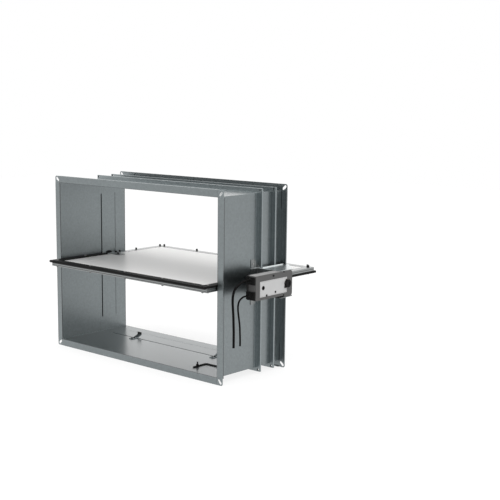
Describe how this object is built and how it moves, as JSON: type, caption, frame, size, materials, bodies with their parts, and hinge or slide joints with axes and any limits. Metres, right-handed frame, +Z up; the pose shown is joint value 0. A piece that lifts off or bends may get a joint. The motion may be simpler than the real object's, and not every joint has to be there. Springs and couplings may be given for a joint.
{
  "type": "smoke exhaust damper",
  "caption": "Rectangular smoke exhaust damper: ribbed and flanged sheet metal casing, pivoting board blade with edge gaskets, blade stops, and an electric actuator on a side console.",
  "frame": {"origin": "on the duct's centreline, at the front face of the first rib, in the plane of the rib's four corner holes", "axes": "+X across the duct towards the actuator, +Y along the duct from front flange to rear flange, +Z up"},
  "size_m": [0.9316, 0.597, 0.65],
  "materials": {
    "galvanised_sheet": "galvanised sheet with a fine matt spangle",
    "rib_sheet": "galvanised sheet, matt",
    "frame_sheet": "folded galvanised sheet",
    "zinc_plate": "pressed zinc plated steel",
    "zinc_fasteners": "bright zinc plated",
    "black_fasteners": "black oxide",
    "black_steel": "black coated steel",
    "shaft_steel": "turned steel",
    "graphite_seal": "intumescent graphite strip",
    "gasket_rubber": "matt black sealing strip",
    "fire_board": "white calcium silicate board",
    "black_plastic": "moulded black plastic",
    "actuator_housing": "grey moulded housing with a fine grain",
    "label_face": "bare pale plate",
    "gear_steel": "sintered steel",
    "gear_plastic": "natural acetal",
    "motor_can": "drawn steel can",
    "circuit_green": "coated circuit board",
    "cable_sheath": "black cable sheath"
  },
  "bodies": {
    "casing": {"front_section": "galvanised_sheet", "rear_section": "galvanised_sheet", "front_rib": "rib_sheet", "rear_rib": "rib_sheet", "rib_seals": "graphite_seal", "front_flange_corners": "zinc_plate", "rear_flange_corners": "zinc_plate", "left_bearing": "black_plastic", "right_bearing": "black_plastic", "bearing_rings": "zinc_fasteners", "floor_stops": "black_steel", "upper_stops": "black_steel", "stop_screws": "black_fasteners", "floor_rod": "black_steel", "rod_post": "black_plastic", "console": "galvanised_sheet", "console_rivets": "zinc_fasteners", "console_screws": "zinc_fasteners", "actuator_base": "black_plastic", "actuator_cover": "actuator_housing", "label_plate": "label_face", "actuator_screws": "black_fasteners", "gear_pins": "shaft_steel", "motor": "motor_can", "circuit_board": "circuit_green", "upper_cable_block": "black_plastic", "lower_cable_block": "black_plastic", "cable_glands": "black_plastic", "upper_cable": "cable_sheath", "lower_cable": "cable_sheath"},
    "blade": {"blade_board": "fire_board", "front_edge_frame": "frame_sheet", "rear_edge_frame": "frame_sheet", "front_gasket": "gasket_rubber", "rear_gasket": "gasket_rubber", "front_blade_screws": "zinc_fasteners", "rear_blade_screws": "black_fasteners", "blade_nuts": "zinc_fasteners", "left_shaft_bracket": "frame_sheet", "right_shaft_bracket": "frame_sheet", "bracket_bolts": "black_fasteners", "idle_shaft": "shaft_steel", "drive_shaft": "shaft_steel", "output_gear": "gear_steel", "position_pointer": "black_plastic"},
    "second_gear": {"gear_b": "gear_steel"},
    "first_gear": {"gear_a": "gear_plastic"},
    "hand_override": {"override_gear": "black_plastic"},
    "motor_rotor": {"motor_pinion": "gear_steel"}
  },
  "joints": [
    {"name": "blade_turn", "type": "hinge", "parent": "casing", "child": "blade", "pos_m": [0, 0.039, 0], "axis": [1, 0, 0], "range_deg": [-90, 0]},
    {"name": "second_gear_turn", "type": "hinge", "parent": "casing", "child": "second_gear", "pos_m": [0.48, -0.0035, 0], "axis": [1, 0, 0], "range_deg": [0, 420]},
    {"name": "first_gear_turn", "type": "hinge", "parent": "casing", "child": "first_gear", "pos_m": [0.47, -0.04225, 0], "axis": [1, 0, 0], "range_deg": [-1750, 0]},
    {"name": "override_turn", "type": "hinge", "parent": "casing", "child": "hand_override", "pos_m": [0.48, -0.08725, 0], "axis": [1, 0, 0], "range_deg": [0, 3500]},
    {"name": "motor_turn", "type": "hinge", "parent": "casing", "child": "motor_rotor", "pos_m": [0.47, -0.07098, 0.0241], "axis": [1, 0, 0], "range_deg": [0, 7000]}
  ],
  "couplings": [
    {"joint": "second_gear_turn", "follows": "blade_turn", "ratio": -4.6667},
    {"joint": "first_gear_turn", "follows": "blade_turn", "ratio": 19.444},
    {"joint": "override_turn", "follows": "blade_turn", "ratio": -38.889},
    {"joint": "motor_turn", "follows": "blade_turn", "ratio": -77.778}
  ]
}
